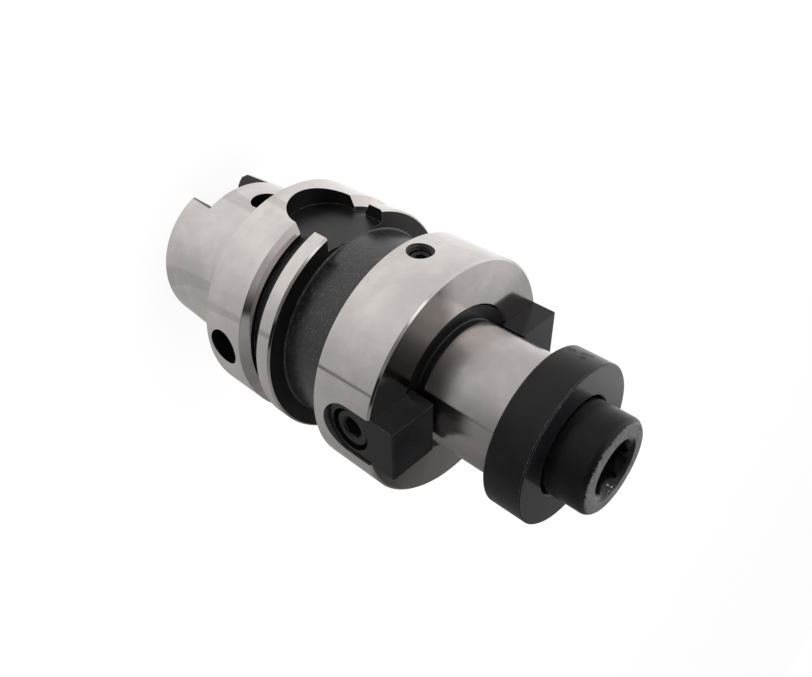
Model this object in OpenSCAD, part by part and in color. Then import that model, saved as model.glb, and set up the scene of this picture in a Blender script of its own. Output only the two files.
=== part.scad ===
// Shell mill holder with a hollow 1:10 taper shank and through coolant.
//
// A hardened steel body carries, from the machine side to the cutter side: a hollow
// taper shank that is drawn against a ring-shaped flange face, a flange with a gripper
// groove and two orientation notches, a slimmer neck, and a collar with a pilot spigot.
// A shell mill slides over the spigot, is driven by two keys screwed into the collar,
// and is clamped by a counterbored washer under a large socket head screw.
// A sealed tube in the shank passes coolant from the spindle to the cutter.
//
// Frame: millimetres, +Z is the rotation axis and points to the cutter, z = 0 is the
// flange face that meets the spindle. +X goes through one drive key, -Y goes through
// the wide orientation notch. The holder stands on the open end of its shank.

/* [Part to show] */
// which sub-part is drawn, all of them or one node

/* [Taper shank] */
// length of the hollow taper shank behind the flange face
shank_l = 32; // [25:0.5:40]
// taper diameter at the gauge plane
gauge_d = 48.01; // [40:0.01:56]
// distance of the gauge plane behind the flange face
gauge_z = 6.3; // [4:0.1:10]
// taper, length over change of diameter
taper_ratio = 9.98; // [8:0.01:12]
// width of the relief groove between taper and flange face
relief_w = 1.6; // [0.6:0.1:2.4]
// depth of that relief groove below the flange face
relief_h = 0.8; // [0.2:0.1:1.2]
// bevel on the outer rim of the shank end
shank_bevel = 1.1; // [0.3:0.1:2]
// diameter of the mouth bore that the clamping set enters
mouth_d = 34; // [28:0.1:38]
// bevel on the inner rim of the shank end
mouth_bevel = 1.4; // [0.4:0.1:2]
// depth at which the mouth bore opens into the clamping groove
groove_z = 9; // [7:0.5:9.5]
// diameter of the clamping groove that the gripper jaws spread into
groove_d = 38.4; // [35:0.1:41]
// length of the clamping groove's full diameter
groove_l = 7; // [4:0.5:12]
// diameter of the bore between clamping groove and coolant seat
core_d = 28; // [24:0.5:32]
// depth of that bore measured from the shank end
core_z = 29; // [25:0.5:31]
// diameter of the two access holes through the taper wall
access_d = 8.6; // [5:0.1:9]
// distance of the access holes behind the flange face
access_z = 9.5; // [7:0.1:12]

/* [Shank drive slots] */
// width of each drive slot at the bore
drive_slot_w = 12.54; // [10:0.01:15]
// depth of the drive slots from the shank end
drive_slot_l = 10; // [7:0.5:12]
// distance from the axis where the slot flanks start to curve outwards
drive_curve_at = 15.45; // [15:0.05:17]
// radius of that curve
drive_flank_r = 5.5; // [4:0.1:6]

/* [Flange] */
// outer diameter of the flange
flange_d = 63; // [60:0.5:66]
// length of the flange
flange_l = 26; // [22:0.5:30]
// bevel on the rim of the flange face that meets the spindle
face_bevel = 0.9; // [0.3:0.1:2]
// bevel on the cutter side rim of the flange
rim_bevel = 0.5; // [0.2:0.1:1.5]
// centre of the gripper groove in front of the flange face
grip_z = 17.95; // [15:0.05:20]
// opening of the gripper groove on the flange diameter
grip_w = 7.1; // [5:0.1:9]
// radial depth of the gripper groove
grip_h = 3.7; // [3:0.1:5]
// radial depth of its two inclined flanks, which are ground
grip_flank_h = 2.6; // [1.5:0.1:2.9]
// axial step between a flank and the flat bottom of the groove
grip_step = 0.2; // [0.1:0.05:0.5]
// full angle between the gripper groove flanks
grip_angle = 60; // [50:1:70]

/* [Orientation notches] */
// width of the notch on the front side
notch_front_w = 18.5; // [16:0.1:20]
// depth of its flat floor below the flange diameter
notch_front_h = 5; // [4:0.1:5.1]
// width of the notch on the back side
notch_back_w = 16; // [14:0.1:18]
// depth of its flat floor below the flange diameter
notch_back_h = 7; // [5:0.1:9]
// gap between the flange face and the round end of both notches
notch_z = 5.1; // [3:0.1:10]
// run-out of the deeper back notch into the neck
notch_runout = 2; // [0.5:0.1:4]

/* [Data chip hole] */
// diameter of the blind hole for a data chip
chip_d = 10; // [8:0.1:12]
// depth of the chip hole from the flange diameter
chip_l = 4.6; // [3:0.1:6]
// distance of the chip hole from the flange face
chip_z = 7.4; // [6.5:0.1:8.5]

/* [Neck and collar] */
// diameter of the neck between flange and collar
neck_d = 52.6; // [46:0.1:52.8]
// corner radius at both ends of the neck
neck_fillet = 0.5; // [0.3:0.1:2]
// distance of the collar's back from the flange face
collar_z = 42; // [38:0.5:46]
// distance of the cutter seat from the flange face
seat_z = 60; // [56:0.5:70]
// outer diameter of the collar
collar_d = 63; // [60:0.5:66]
// bevel on the cutter side rim of the collar
collar_bevel = 0.5; // [0.3:0.1:1.8]
// bevel on the machine side rim of the collar
collar_back_bevel = 0.6; // [0.2:0.1:1.5]

/* [Pilot spigot] */
// diameter of the spigot that centres the cutter
pilot_d = 32; // [30:0.5:34]
// length of the spigot in front of the cutter seat
pilot_l = 24; // [20:0.5:28]
// bevel on the free end of the spigot
pilot_bevel = 1; // [0.3:0.1:2]
// outer diameter of the ring recess at the foot of the spigot
recess_d = 39.8; // [36:0.1:40.2]
// depth of that recess below the cutter seat
recess_l = 0.3; // [0.1:0.1:0.8]
// radial width of the sloping rim of the recess
recess_rim = 0.5; // [0.2:0.1:1]
// depth of the undercut that ends the ground length of the spigot
undercut_h = 0.3; // [0.1:0.05:0.6]
// reach of the undercut in front of the cutter seat
undercut_l = 1.6; // [1:0.1:3]
// corner radius between the undercut and the recess
undercut_fillet = 0.4; // [0.2:0.1:0.8]

/* [Drive keys] */
// width of the drive keys
key_w = 14; // [12:0.1:16]
// gap between key and slot on each side
key_gap = 0.03; // [0.02:0.01:0.06]
// protrusion of the keys in front of the cutter seat
key_out = 7; // [5:0.1:9]
// depth of the outer key face below the collar diameter
key_sink = 1.3; // [0.9:0.1:2.5]
// gap between the spigot and the inner end of the key nose
key_nose_gap = 0.7; // [0.4:0.1:2]
// depth of the slot floor below the collar diameter
key_slot_h = 13; // [12.9:0.1:13.3]
// distance between the cutter seat and the round back end of the slot
key_slot_l = 14.2; // [13:0.1:15]
// gap between the round back end of a key and its slot
key_back_gap = 0.5; // [0.1:0.05:0.8]
// bevel along the edges of the key face and nose
key_bevel = 0.4; // [0.2:0.1:0.8]

/* [Key screws] */
// distance between the cutter seat and the axis of the key screws
key_screw_z = 6.6; // [6:0.1:8]
// head diameter of the key screws
key_head_d = 9.8; // [8.8:0.1:10]
// height of that head
key_head_l = 5.6; // [4:0.1:6]
// diameter of the counterbore in the key
key_bore_d = 11.4; // [10.4:0.1:11.8]
// depth of the screw head below the outer key face
key_head_sink = 0.6; // [0.2:0.1:1]
// width across flats of the key screw socket
key_socket_af = 5; // [4:0.5:5]
// depth of the key screw socket
key_socket_l = 3; // [2:0.1:3.4]
// thread diameter of the key screws
key_thread_d = 6; // [5:1:6]
// length of the key screws under the head
key_thread_l = 10; // [8:0.5:10.5]

/* [Plug screws] */
// thread diameter of the plug screws in the collar
plug_d = 6; // [5:1:8]
// length of the plug screws
plug_l = 6; // [4:0.5:8]
// depth of the plug screws below the collar diameter
plug_sink = 1.5; // [1:0.1:4]
// distance of the plug holes from the flange face
plug_z = 47.6; // [46:0.1:52]
// width across flats of the plug screw socket
plug_socket_af = 2.5; // [2:0.5:4]
// depth of the plug screw socket
plug_socket_l = 3; // [2:0.1:4]
// depth of the tapped length of each plug hole
plug_tap_l = 11; // [9:0.5:14]
// diameter of the coolant drilling behind the plug
plug_drill_d = 4.2; // [3:0.1:5]
// bevel at the mouth of the plug holes
plug_bevel = 0.25; // [0.1:0.05:0.6]
// bevel round the outer end of the plug screw
plug_face_bevel = 0.6; // [0.2:0.1:1]

/* [Clamp washer] */
// diameter of the clamp washer
washer_d = 40.5; // [38:0.1:44]
// thickness of the clamp washer
washer_l = 10; // [8:0.5:12]
// bevel on the outer edges of the washer
washer_bevel = 0.35; // [0.2:0.05:1]
// diameter of the counterbore for the screw head
washer_bore_d = 25; // [24.6:0.1:26]
// depth of that counterbore
washer_bore_l = 5.6; // [4:0.1:7]
// diameter of the through hole of the washer
washer_hole_d = 17; // [16.6:0.1:18]

/* [Retaining screw] */
// thread diameter of the retaining screw
screw_d = 16; // [14:0.5:16.5]
// length of the retaining screw under its head
screw_l = 45; // [38:0.5:50]
// head diameter of the retaining screw
head_d = 24; // [22:0.1:24.4]
// head height of the retaining screw
head_l = 16; // [12:0.5:18]
// width of the bevel on the head rim, measured across the front face
head_bevel = 1.1; // [0.5:0.1:2]
// length of the same bevel along the axis
head_bevel_l = 1.4; // [0.5:0.1:2]
// width across flats of the socket
socket_af = 12; // [10:0.5:14]
// depth of the socket
socket_l = 8; // [6:0.5:9]
// bevel on the tip of the thread
tip_bevel = 1.2; // [0.5:0.1:2]
// depth of the tapped hole from the spigot's end
tapped_l = 48; // [46:0.5:55]
// diameter of the lead at the mouth of the tapped hole
lead_d = 17.4; // [16.8:0.1:19]
// depth of that lead
lead_l = 3; // [1:0.5:5]

/* [Coolant tube and seat] */
// outer diameter of the coolant tube's free end
tube_d = 12; // [11:0.1:12.4]
// outer diameter of the tube where the seals and the nut sit
tube_neck_d = 11.6; // [10.6:0.1:12]
// gap between the nut and the shoulder where the free end begins
tube_neck_gap = 1; // [0.6:0.1:3]
// bevel on the free end of the tube
tube_bevel = 0.5; // [0.2:0.1:1]
// bore of the coolant tube and of the channel behind it
tube_bore_d = 8; // [6:0.1:8.6]
// length of the coolant tube
tube_l = 36.5; // [32:0.5:38]
// gap between the inner end of the tube and the bottom of its seat
tube_end_gap = 0.6; // [0.4:0.1:1]
// diameter of the ring on the tube that the seals press on
tube_ring_d = 14.6; // [13.8:0.1:15]
// outer diameter of the tube nut's thread
nut_d = 18; // [17:0.1:20]
// length of the tube nut
nut_l = 10; // [8:0.5:12]
// diameter of the nut's hole around the tube
nut_hole_d = 13.2; // [12.8:0.1:13.6]
// inner diameter of the nut's seal chamber
nut_chamber_d = 15.6; // [15.2:0.1:16]
// length of the seal chamber
nut_chamber_l = 5; // [4.5:0.1:6]
// width of the four spanner slots in the nut's end
nut_slot_w = 2.6; // [2:0.1:3]
// depth of the spanner slots
nut_slot_l = 2.2; // [1.5:0.1:3]
// depth of the coolant seat in front of the flange face
seal_seat_z = 9; // [7:0.5:12]
// section diameter of the sealing rings
ring_d = 1.5; // [1.2:0.1:1.6]

/* [Clearances] */
// radial clearance of every threaded pair and of the sealing rings on the tube
thread_gap = 0.05; // [0.02:0.01:0.1]
// gap left on both sides of a sealing ring so that the tube can tilt
seal_gap = 0.3; // [0.2:0.05:0.4]
// how far the countersunk mouth of a hexagon socket reaches past its corners
socket_rim = 0.3; // [0.1:0.1:0.5]

/* [Hidden] */
$fn = 96;
// points on each computed corner arc
arc_steps = 8;
// overlap that makes cuts run cleanly through a face
cut = 1;
// depth of a socket's countersunk mouth for each millimetre of its radial width
socket_slope = 0.75;
shank_r = gauge_d / 2;
flange_r = flange_d / 2;
neck_r = neck_d / 2;
collar_r = collar_d / 2;
pilot_r = pilot_d / 2;
pilot_z = seat_z + pilot_l;
undercut_r = pilot_r - undercut_h;
recess_floor_z = seat_z - recess_l;
grip_half = grip_w / 2;
grip_flank_half = grip_half - grip_flank_h * tan(grip_angle / 2);
grip_floor_half = grip_flank_half - grip_step;
grip_floor_r = flange_r - grip_h;
grip_flank_r = flange_r - grip_flank_h;
shank_end_r = taper_r(-shank_l);
groove_slope = (groove_d - mouth_d) / 2 / tan(60);
core_top_z = core_z - shank_l;
key_slot_w = key_w + 2 * key_gap;
key_outer_r = collar_r - key_sink;
key_inner_r = pilot_r + key_nose_gap;
key_floor_r = collar_r - key_slot_h;
key_back_z = seat_z - key_slot_l;
key_axis_z = seat_z - key_screw_z;
key_head_r = key_outer_r - key_head_sink;
key_seat_r = key_head_r - key_head_l;
key_tip_r = key_seat_r - key_thread_l;
plug_r = plug_d / 2 - thread_gap;
washer_top_z = pilot_z + washer_l;
head_seat_z = washer_top_z - washer_bore_l;
head_top_z = head_seat_z + head_l;
screw_tip_z = head_seat_z - screw_l;
tapped_z = pilot_z - tapped_l;
tube_top_z = seal_seat_z - tube_end_gap;
seal_room = ring_d + 2 * seal_gap;
nut_top_z = seal_seat_z - seal_room;
nut_bottom_z = nut_top_z - nut_l;
chamber_z = nut_top_z - nut_chamber_l;
tube_ring_z = chamber_z + seal_room;
seal_rear_z = chamber_z + seal_room / 2;
seal_front_z = seal_seat_z - seal_room / 2;
seal_r = tube_neck_d / 2 + thread_gap + ring_d / 2;
tube_neck_z = nut_bottom_z - tube_neck_gap;
steel = [0.74, 0.72, 0.71];
black = [0.12, 0.12, 0.13];
rubber = [0.05, 0.05, 0.05];

// Radius of the taper at a height z.
function taper_r(z) = shank_r + (z + gauge_z) / (2 * taper_ratio);

// Quarter arc of points around a centre, from one angle to another.
function arc_points(centre, radius, from, to) = [
    for (i = [0 : arc_steps])
        let (a = from + (to - from) * i / arc_steps)
        centre + radius * [cos(a), sin(a)]
];

// Outer contour of the body, walked from the shank end to the spigot's end.
function outer_contour() = concat(
    [
        [0, -shank_l],
        [shank_end_r - shank_bevel, -shank_l],
        [taper_r(shank_bevel - shank_l), shank_bevel - shank_l],
        [taper_r(0), 0],
        [taper_r(0), relief_h],
        [taper_r(0) + relief_w, relief_h],
        [taper_r(0) + relief_w, 0],
        [flange_r - face_bevel, 0],
        [flange_r, face_bevel],
        [flange_r, grip_z - grip_half],
        [grip_flank_r, grip_z - grip_flank_half],
        [grip_floor_r, grip_z - grip_floor_half],
        [grip_floor_r, grip_z + grip_floor_half],
        [grip_flank_r, grip_z + grip_flank_half],
        [flange_r, grip_z + grip_half],
        [flange_r, flange_l - rim_bevel],
        [flange_r - rim_bevel, flange_l]
    ],
    arc_points([neck_r + neck_fillet, flange_l + neck_fillet], neck_fillet, 270, 180),
    arc_points([neck_r + neck_fillet, collar_z - neck_fillet], neck_fillet, 180, 90),
    [
        [collar_r - collar_back_bevel, collar_z],
        [collar_r, collar_z + collar_back_bevel],
        [collar_r, seat_z - collar_bevel],
        [collar_r - collar_bevel, seat_z],
        [recess_d / 2, seat_z],
        [recess_d / 2 - recess_rim, recess_floor_z]
    ],
    arc_points(
        [undercut_r + undercut_fillet, recess_floor_z + undercut_fillet], undercut_fillet, 270, 180
    ),
    [
        [undercut_r, seat_z + undercut_l],
        [pilot_r, seat_z + undercut_l + undercut_h],
        [pilot_r, pilot_z - pilot_bevel],
        [pilot_r - pilot_bevel, pilot_z],
        [0, pilot_z]
    ]
);

// Inner contour: the clamping hollow, the coolant seat, the channel and the tapped hole.
function inner_contour() = [
    [0, -shank_l - cut],
    [mouth_d / 2 + mouth_bevel + cut, -shank_l - cut],
    [mouth_d / 2, -shank_l + mouth_bevel],
    [mouth_d / 2, groove_z - shank_l],
    [groove_d / 2, groove_z - shank_l + groove_slope],
    [groove_d / 2, groove_z - shank_l + groove_slope + groove_l],
    [core_d / 2, groove_z - shank_l + groove_slope + groove_l + groove_slope],
    [core_d / 2, core_top_z],
    [nut_d / 2, core_top_z],
    [nut_d / 2, seal_seat_z],
    [tube_bore_d / 2, seal_seat_z],
    [tube_bore_d / 2, tapped_z],
    [screw_d / 2, tapped_z + (screw_d - tube_bore_d) / 2],
    [screw_d / 2, pilot_z - lead_l],
    [lead_d / 2, pilot_z - lead_l],
    [lead_d / 2, pilot_z + cut],
    [0, pilot_z + cut]
];

// Cross section of a drive slot that opens towards +Y between rounded flanks.
module drive_slot_2d() {
    half = drive_slot_w / 2;
    translate([-half, 0])
        square([drive_slot_w, flange_r]);
    difference() {
        translate([-half - drive_flank_r, drive_curve_at])
            square([drive_slot_w + 2 * drive_flank_r, flange_r - drive_curve_at]);
        for (side = [-1, 1])
            translate([side * (half + drive_flank_r), drive_curve_at])
                circle(r = drive_flank_r);
    }
}

// Side view of a slot with a round end, from the round end up to a height.
module round_slot_2d(width, low, high) {
    translate([-width / 2, low + width / 2])
        square([width, high - low - width / 2]);
    translate([0, low + width / 2])
        circle(d = width);
}

// The same slot cut radially, outwards from a floor radius, towards -Y.
module radial_slot(width, low, high, floor_r, outer_r) {
    translate([0, -floor_r, 0])
        rotate([90, 0, 0])
            linear_extrude(outer_r - floor_r)
                round_slot_2d(width, low, high);
}

// A round cut towards +X between two distances from the axis.
module radial_drill(diameter, height, inner_r, outer_r) {
    translate([inner_r, 0, height])
        rotate([0, 90, 0])
            cylinder(d = diameter, h = outer_r - inner_r);
}

// A hexagon given by its width across flats.
module hexagon(across_flats) {
    circle(d = across_flats / cos(30), $fn = 6);
}

// A hexagon socket sunk below height 0, with a countersunk mouth.
module hex_socket(across_flats, depth) {
    rim_r = across_flats / 2 / cos(30) + socket_rim;
    rim_l = (rim_r - across_flats / 2) * socket_slope;
    translate([0, 0, -depth])
        linear_extrude(depth + cut)
            hexagon(across_flats);
    translate([0, 0, -rim_l])
        cylinder(r1 = across_flats / 2, r2 = rim_r + cut / socket_slope, h = rim_l + cut);
}

// Places a child made for the right key on the left side as well.
module both_sides() {
    children();
    rotate([0, 0, 180])
        children();
}

module plug_hole() {
    radial_drill(plug_drill_d, plug_z, 0, collar_r - plug_tap_l + cut);
    radial_drill(plug_d, plug_z, collar_r - plug_tap_l, collar_r + cut);
    translate([collar_r - 2 * plug_bevel, 0, plug_z])
        rotate([0, 90, 0])
            cylinder(d1 = plug_d, d2 = plug_d + 4 * plug_bevel, h = 2 * plug_bevel);
}

module key_seat() {
    rotate([0, 0, 90])
        radial_slot(key_slot_w, key_back_z, seat_z + cut, key_floor_r, collar_r + cut);
    radial_drill(key_thread_d, key_axis_z, key_tip_r - cut / 2, key_floor_r + cut);
}

module holder_body() {
    color(steel)
        difference() {
            rotate_extrude()
                polygon(outer_contour());
            rotate_extrude()
                polygon(inner_contour());
            both_sides() {
                translate([0, 0, -shank_l - cut])
                    linear_extrude(drive_slot_l + cut)
                        drive_slot_2d();
                key_seat();
                rotate([0, 0, 90]) {
                    plug_hole();
                    radial_drill(access_d, -access_z, core_d / 2 - cut, flange_r);
                }
            }
            radial_slot(
                notch_front_w, notch_z, flange_l + cut, flange_r - notch_front_h, flange_r + cut
            );
            rotate([0, 0, 180])
                radial_slot(
                    notch_back_w, notch_z, flange_l + notch_runout,
                    flange_r - notch_back_h, flange_r + cut
                );
            radial_drill(chip_d, chip_z, flange_r - chip_l, flange_r + cut);
        }
}

// Side profile of a key in the plane of its screw, before the round back end is cut.
function key_profile() = [
    [key_floor_r, key_back_z + key_back_gap],
    [key_outer_r, key_back_z + key_back_gap],
    [key_outer_r, seat_z + key_out - key_bevel],
    [key_outer_r - key_bevel, seat_z + key_out],
    [key_inner_r + key_bevel, seat_z + key_out],
    [key_inner_r, seat_z + key_out - key_bevel],
    [key_inner_r, seat_z],
    [key_floor_r, seat_z]
];

module drive_key() {
    color(black)
        difference() {
            intersection() {
                translate([0, key_w / 2, 0])
                    rotate([90, 0, 0])
                        linear_extrude(key_w)
                            polygon(key_profile());
                rotate([0, 0, 90])
                    radial_slot(
                        key_w, key_back_z + key_back_gap, seat_z + key_out + cut,
                        key_inner_r - cut, collar_r + cut
                    );
            }
            radial_drill(key_bore_d, key_axis_z, key_seat_r, collar_r + cut);
            radial_drill(key_thread_d + 4 * thread_gap, key_axis_z, key_floor_r - cut, key_seat_r + cut);
        }
}

module drive_key_right() {
    drive_key();
}

module drive_key_left() {
    rotate([0, 0, 180])
        drive_key();
}

// A socket head screw pointing to the axis, its head towards +X.
module key_screw() {
    color(black)
        translate([0, 0, key_axis_z])
            rotate([0, 90, 0])
                difference() {
                    union() {
                        translate([0, 0, key_tip_r])
                            cylinder(r = key_thread_d / 2 - thread_gap, h = key_thread_l + cut);
                        translate([0, 0, key_seat_r])
                            cylinder(d = key_head_d, h = key_head_l - key_bevel);
                        translate([0, 0, key_head_r - key_bevel])
                            cylinder(d1 = key_head_d, d2 = key_head_d - 2 * key_bevel, h = key_bevel);
                    }
                    translate([0, 0, key_head_r])
                        hex_socket(key_socket_af, key_socket_l);
                }
}

module key_screw_right() {
    key_screw();
}

module key_screw_left() {
    rotate([0, 0, 180])
        key_screw();
}

// A grub screw in a plug hole, its socket towards +X.
module plug_screw() {
    color(black)
        translate([collar_r - plug_sink - plug_l, 0, plug_z])
            rotate([0, 90, 0])
                difference() {
                    union() {
                        cylinder(r = plug_r, h = plug_l - plug_face_bevel);
                        translate([0, 0, plug_l - plug_face_bevel])
                            cylinder(r1 = plug_r, r2 = plug_r - plug_face_bevel, h = plug_face_bevel);
                    }
                    translate([0, 0, plug_l])
                        hex_socket(plug_socket_af, plug_socket_l);
                }
}

module plug_screw_front() {
    rotate([0, 0, 270])
        plug_screw();
}

module plug_screw_back() {
    rotate([0, 0, 90])
        plug_screw();
}

// Half section of the clamp washer.
function washer_profile() = [
    [washer_hole_d / 2, pilot_z],
    [washer_d / 2 - washer_bevel, pilot_z],
    [washer_d / 2, pilot_z + washer_bevel],
    [washer_d / 2, washer_top_z - washer_bevel],
    [washer_d / 2 - washer_bevel, washer_top_z],
    [washer_bore_d / 2 + washer_bevel, washer_top_z],
    [washer_bore_d / 2, washer_top_z - washer_bevel],
    [washer_bore_d / 2, head_seat_z],
    [washer_hole_d / 2, head_seat_z]
];

module clamp_washer() {
    color(black)
        rotate_extrude()
            polygon(washer_profile());
}

// Half section of the retaining screw.
function screw_profile() =
    let (thread_r = screw_d / 2 - thread_gap)
    [
        [0, screw_tip_z],
        [thread_r - tip_bevel, screw_tip_z],
        [thread_r, screw_tip_z + tip_bevel],
        [thread_r, head_seat_z],
        [head_d / 2, head_seat_z],
        [head_d / 2, head_top_z - head_bevel_l],
        [head_d / 2 - head_bevel, head_top_z],
        [0, head_top_z]
    ];

module retaining_screw() {
    color(black)
        difference() {
            rotate_extrude()
                polygon(screw_profile());
            translate([0, 0, head_top_z])
                hex_socket(socket_af, socket_l);
        }
}

// Half section of the coolant tube with the ring that its seals press on.
function tube_profile() = [
    [tube_bore_d / 2, tube_top_z - tube_l],
    [tube_d / 2 - tube_bevel, tube_top_z - tube_l],
    [tube_d / 2, tube_top_z - tube_l + tube_bevel],
    [tube_d / 2, tube_neck_z],
    [tube_neck_d / 2, tube_neck_z],
    [tube_neck_d / 2, tube_ring_z],
    [tube_ring_d / 2, tube_ring_z],
    [tube_ring_d / 2, nut_top_z],
    [tube_neck_d / 2, nut_top_z],
    [tube_neck_d / 2, tube_top_z],
    [tube_bore_d / 2, tube_top_z]
];

module coolant_tube() {
    color(steel)
        rotate_extrude()
            polygon(tube_profile());
}

// Half section of the tube nut with its seal chamber.
function nut_profile() =
    let (thread_r = nut_d / 2 - thread_gap)
    [
        [nut_hole_d / 2, nut_bottom_z],
        [thread_r, nut_bottom_z],
        [thread_r, nut_top_z],
        [nut_chamber_d / 2, nut_top_z],
        [nut_chamber_d / 2, chamber_z],
        [nut_hole_d / 2, chamber_z]
    ];

module tube_nut() {
    color(steel)
        difference() {
            rotate_extrude()
                polygon(nut_profile());
            both_sides()
                for (turn = [0, 90])
                    rotate([0, 0, turn])
                        translate([nut_hole_d / 2 - cut, -nut_slot_w / 2, nut_bottom_z - cut])
                            cube([nut_d, nut_slot_w, nut_slot_l + cut]);
        }
}

module sealing_ring(height) {
    color(rubber)
        rotate_extrude()
            translate([seal_r, height])
                circle(d = ring_d);
}

module tube_o_ring_front() {
    sealing_ring(seal_front_z);
}

module tube_o_ring_rear() {
    sealing_ring(seal_rear_z);
}

holder_body();
drive_key_right();
drive_key_left();
key_screw_right();
key_screw_left();
plug_screw_front();
plug_screw_back();
clamp_washer();
retaining_screw();
coolant_tube();
tube_nut();
tube_o_ring_front();
tube_o_ring_rear();
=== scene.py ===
"""Shell mill holder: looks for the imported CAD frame.

Metres, in the frame of the CAD: +Z along the rotation axis towards the cutter, z = 0 on
the flange face that meets the spindle, +X through a drive key, -Y through the wide notch.
"""
import math

import bmesh
import bpy
from mathutils import Matrix, Vector


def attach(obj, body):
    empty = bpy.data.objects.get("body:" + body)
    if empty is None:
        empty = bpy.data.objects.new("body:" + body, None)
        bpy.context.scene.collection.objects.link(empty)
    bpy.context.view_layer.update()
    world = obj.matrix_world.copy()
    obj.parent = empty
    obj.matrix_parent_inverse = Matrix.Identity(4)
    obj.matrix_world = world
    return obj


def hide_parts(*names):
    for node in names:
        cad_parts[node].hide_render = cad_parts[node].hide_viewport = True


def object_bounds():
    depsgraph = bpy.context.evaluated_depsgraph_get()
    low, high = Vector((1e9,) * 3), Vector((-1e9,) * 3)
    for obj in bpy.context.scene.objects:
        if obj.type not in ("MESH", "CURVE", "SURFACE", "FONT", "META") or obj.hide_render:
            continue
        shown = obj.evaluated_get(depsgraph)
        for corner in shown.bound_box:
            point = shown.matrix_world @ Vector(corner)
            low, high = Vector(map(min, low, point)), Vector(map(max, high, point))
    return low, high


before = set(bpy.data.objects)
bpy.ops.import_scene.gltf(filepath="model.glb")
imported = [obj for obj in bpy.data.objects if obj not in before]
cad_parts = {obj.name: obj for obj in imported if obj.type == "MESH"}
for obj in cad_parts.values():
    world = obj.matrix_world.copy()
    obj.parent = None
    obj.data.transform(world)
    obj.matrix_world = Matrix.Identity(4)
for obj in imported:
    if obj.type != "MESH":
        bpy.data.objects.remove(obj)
cad_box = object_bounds()

MM = 0.001
FULL_TURN = 2 * math.pi

# Sizes that the looks need, the same as in the CAD source.
FLANGE_R = 31.5 * MM
GROOVE_Z = 17.95 * MM
GROOVE_HALF = 3.55 * MM
FLANK_R = 28.9 * MM
FLANGE_TOP_Z = 26 * MM
COLLAR_BACK_Z = 42 * MM
SEAT_Z = 60 * MM
COLLAR_R = 31.5 * MM
RECESS_R = 19.9 * MM
PILOT_R = 16 * MM
PILOT_FOOT_Z = 61.6 * MM
PILOT_END_Z = 84 * MM
MOUTH_R = 17 * MM
SHANK_END_Z = -32 * MM
GAUGE_R = 24.005 * MM
GAUGE_Z = -6.3 * MM
TAPER_SLOPE = 1 / (2 * 9.98)
PLUG_Z = 47.6 * MM
PLUG_HOLE_R = 3 * MM
PLUG_FACE_R = 30.0 * MM
HEAD_R = 12 * MM
HEAD_SEAT_Z = 88.4 * MM
HEAD_TOP_Z = 104.4 * MM
SCREW_R = 8 * MM
SCREW_TIP_Z = 43.4 * MM
SCREW_PITCH = 2 * MM
SOCKET_AF = 12 * MM
SOCKET_DEPTH = 8 * MM

# Where the funnel at the mouth of the screw's socket meets the front ring of its head.
MOUTH_EDGE_R = 8.1 * MM

# The camera of the photograph, found from the circles in it.
CAMERA_AT = Vector((117.2, -130.5, 154.6)) * MM
CAMERA_AHEAD = Vector((-0.5686, 0.6177, -0.5433))
CAMERA_UP = Vector((-0.4567, -0.7863, -0.4161))
CAMERA_FOCAL = 810.2
IMAGE_W = 812
SENSOR_W = 36


# Node helpers

class Graph:
    """A small writer for the nodes of one tree. Colours are three numbers."""

    def __init__(self, tree):
        self.tree = tree

    def add(self, kind, **settings):
        node = self.tree.nodes.new(kind)
        for key, value in settings.items():
            setattr(node, key, value)
        return node

    def link(self, source, socket):
        """Puts a fixed value or the output of another node on a socket."""
        if isinstance(source, bpy.types.NodeSocket):
            self.tree.links.new(source, socket)
        elif socket.type == "RGBA":
            socket.default_value = (*source, 1)
        else:
            socket.default_value = source

    def math(self, operation, *values):
        node = self.add("ShaderNodeMath", operation=operation)
        for socket, value in zip(node.inputs, values):
            self.link(value, socket)
        return node.outputs[0]

    def plus(self, total, *others):
        for other in others:
            total = self.math("ADD", total, other)
        return total

    def minus(self, first, second):
        return self.math("SUBTRACT", first, second)

    def times(self, product, *others):
        for other in others:
            product = self.math("MULTIPLY", product, other)
        return product

    def larger(self, first, second):
        return self.math("MAXIMUM", first, second)

    def size(self, value):
        return self.math("ABSOLUTE", value)

    def vector_math(self, operation, first, second):
        node = self.add("ShaderNodeVectorMath", operation=operation)
        self.link(first, node.inputs[0])
        self.link(second, node.inputs[1])
        return node.outputs

    def dot(self, first, second):
        return self.vector_math("DOT_PRODUCT", first, second)["Value"]

    def ramp(self, value, low, high, to_low=0.0, to_high=1.0):
        node = self.add("ShaderNodeMapRange", interpolation_type="SMOOTHSTEP")
        for socket, number in zip(node.inputs, (value, low, high, to_low, to_high)):
            self.link(number, socket)
        return node.outputs[0]

    def mix(self, factor, first, second):
        node = self.add("ShaderNodeMix", data_type="RGBA")
        self.link(factor, node.inputs[0])
        self.link(first, node.inputs[6])
        self.link(second, node.inputs[7])
        return node.outputs[2]

    def laid_on(self, tone, mask, share, color):
        """The tone with a share of a colour laid over it where the mask is 1."""
        return self.mix(self.times(mask, share), tone, color)

    def tone_curve(self, value, stops, low=0.0, high=1.0):
        """Grey tones at the given places from low to high, with straight runs between them."""
        node = self.add("ShaderNodeValToRGB")
        ramp = node.color_ramp
        ramp.interpolation = "LINEAR"
        for _ in stops[2:]:
            ramp.elements.new(0.5)
        for element, (place, tone) in zip(ramp.elements, stops):
            element.position = (place - low) / (high - low)
            element.color = (tone, tone, tone, 1)
        self.link(self.math("DIVIDE", self.minus(value, low), high - low), node.inputs[0])
        return node.outputs[0]

    def light_path(self, ray):
        return self.add("ShaderNodeLightPath").outputs[ray]


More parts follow.
